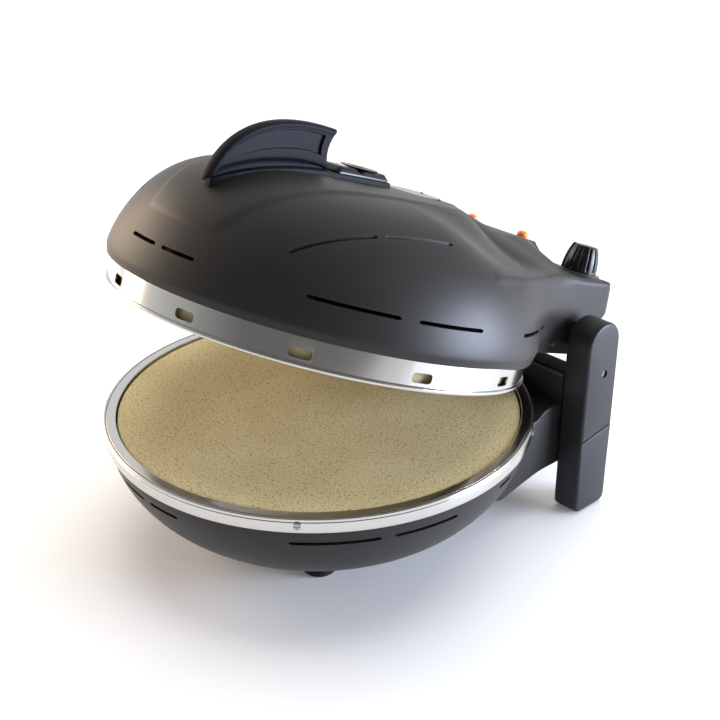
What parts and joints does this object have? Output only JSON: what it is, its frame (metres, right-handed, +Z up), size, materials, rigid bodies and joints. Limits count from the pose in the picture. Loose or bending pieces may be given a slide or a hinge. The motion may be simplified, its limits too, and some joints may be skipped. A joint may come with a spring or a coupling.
{
  "type": "electric pizza maker",
  "caption": "Electric pizza maker: bowl base with a round baking stone, domed lid with a fin handle, turning between two rear posts, and a thermostat knob.",
  "frame": {"origin": "on the bowl's vertical axis at table height", "axes": "+Z up, -Y toward the handle at the front, +Y toward the hinge, +X to the right seen from behind"},
  "size_m": [0.342, 0.4026, 0.3492],
  "materials": {
    "plastic_base": "satin moulded dark charcoal plastic",
    "plastic_post": "satin moulded dark charcoal plastic",
    "steel_trim": "polished stainless steel",
    "stone": "fine speckled refractory stone, unglazed",
    "pan_metal": "spun aluminium-coated sheet",
    "heater_tube": "dull heat-coloured steel sheath",
    "clip_steel": "zinc-plated sheet steel",
    "rubber": "black rubber",
    "screw_steel": "bright screw heads",
    "pin_steel": "turned steel",
    "bush_plastic": "black bearing plastic",
    "plastic_lid": "satin moulded dark charcoal plastic",
    "plastic_handle": "satin blue-black plastic",
    "plastic_black": "black plastic, semi-gloss",
    "cap_grey": "light grey satin plastic",
    "dial_print": "grey satin plate",
    "lamp_amber": "translucent amber lens"
  },
  "bodies": {
    "base": {"base_bowl": "plastic_base", "rear_bridge": "plastic_base", "post_left": "plastic_post", "post_right": "plastic_post", "shoe_left": "plastic_post", "shoe_right": "plastic_post", "base_band": "steel_trim", "base_ring": "steel_trim", "baking_stone": "stone", "lower_reflector": "pan_metal", "lower_heater": "heater_tube", "lower_clips": "clip_steel", "front_feet": "rubber", "rear_pads": "rubber", "cord_gland": "rubber", "post_screws": "screw_steel", "rim_screws": "screw_steel", "hinge_pins": "pin_steel", "hinge_bushes": "bush_plastic"},
    "lid": {"lid_shell": "plastic_lid", "lid_band": "steel_trim", "lid_reflector": "pan_metal", "upper_heater": "heater_tube", "upper_clips": "clip_steel", "handle_fin": "plastic_handle", "handle_inlays": "plastic_handle", "handle_plinth": "plastic_handle", "crown_ring": "plastic_black", "flush_cap": "cap_grey", "lamp_lenses": "lamp_amber", "dial_plate": "dial_print", "thermostat": "clip_steel", "hinge_brackets": "clip_steel", "housing_cover": "plastic_lid", "lid_screws": "screw_steel"},
    "knob": {"knob": "plastic_black", "knob_shaft": "pin_steel"},
    "dial": {"crown_dial": "plastic_black"}
  },
  "joints": [
    {"name": "lid_hinge", "type": "hinge", "parent": "base", "child": "lid", "pos_m": [0, 0.178, 0.153], "axis": [-1, 0, 0], "range_deg": [-20.1, 45]},
    {"name": "knob_turn", "type": "hinge", "parent": "lid", "child": "knob", "pos_m": [0.085, 0.21447, 0.18864], "axis": [0, 0.3437, 0.9391], "range_deg": [0, 270]},
    {"name": "crown_dial_turn", "type": "hinge", "parent": "lid", "child": "dial", "pos_m": [0, 0.04124, 0.29143], "axis": [0, 0.3437, 0.9391], "range_deg": [0, 300]}
  ]
}
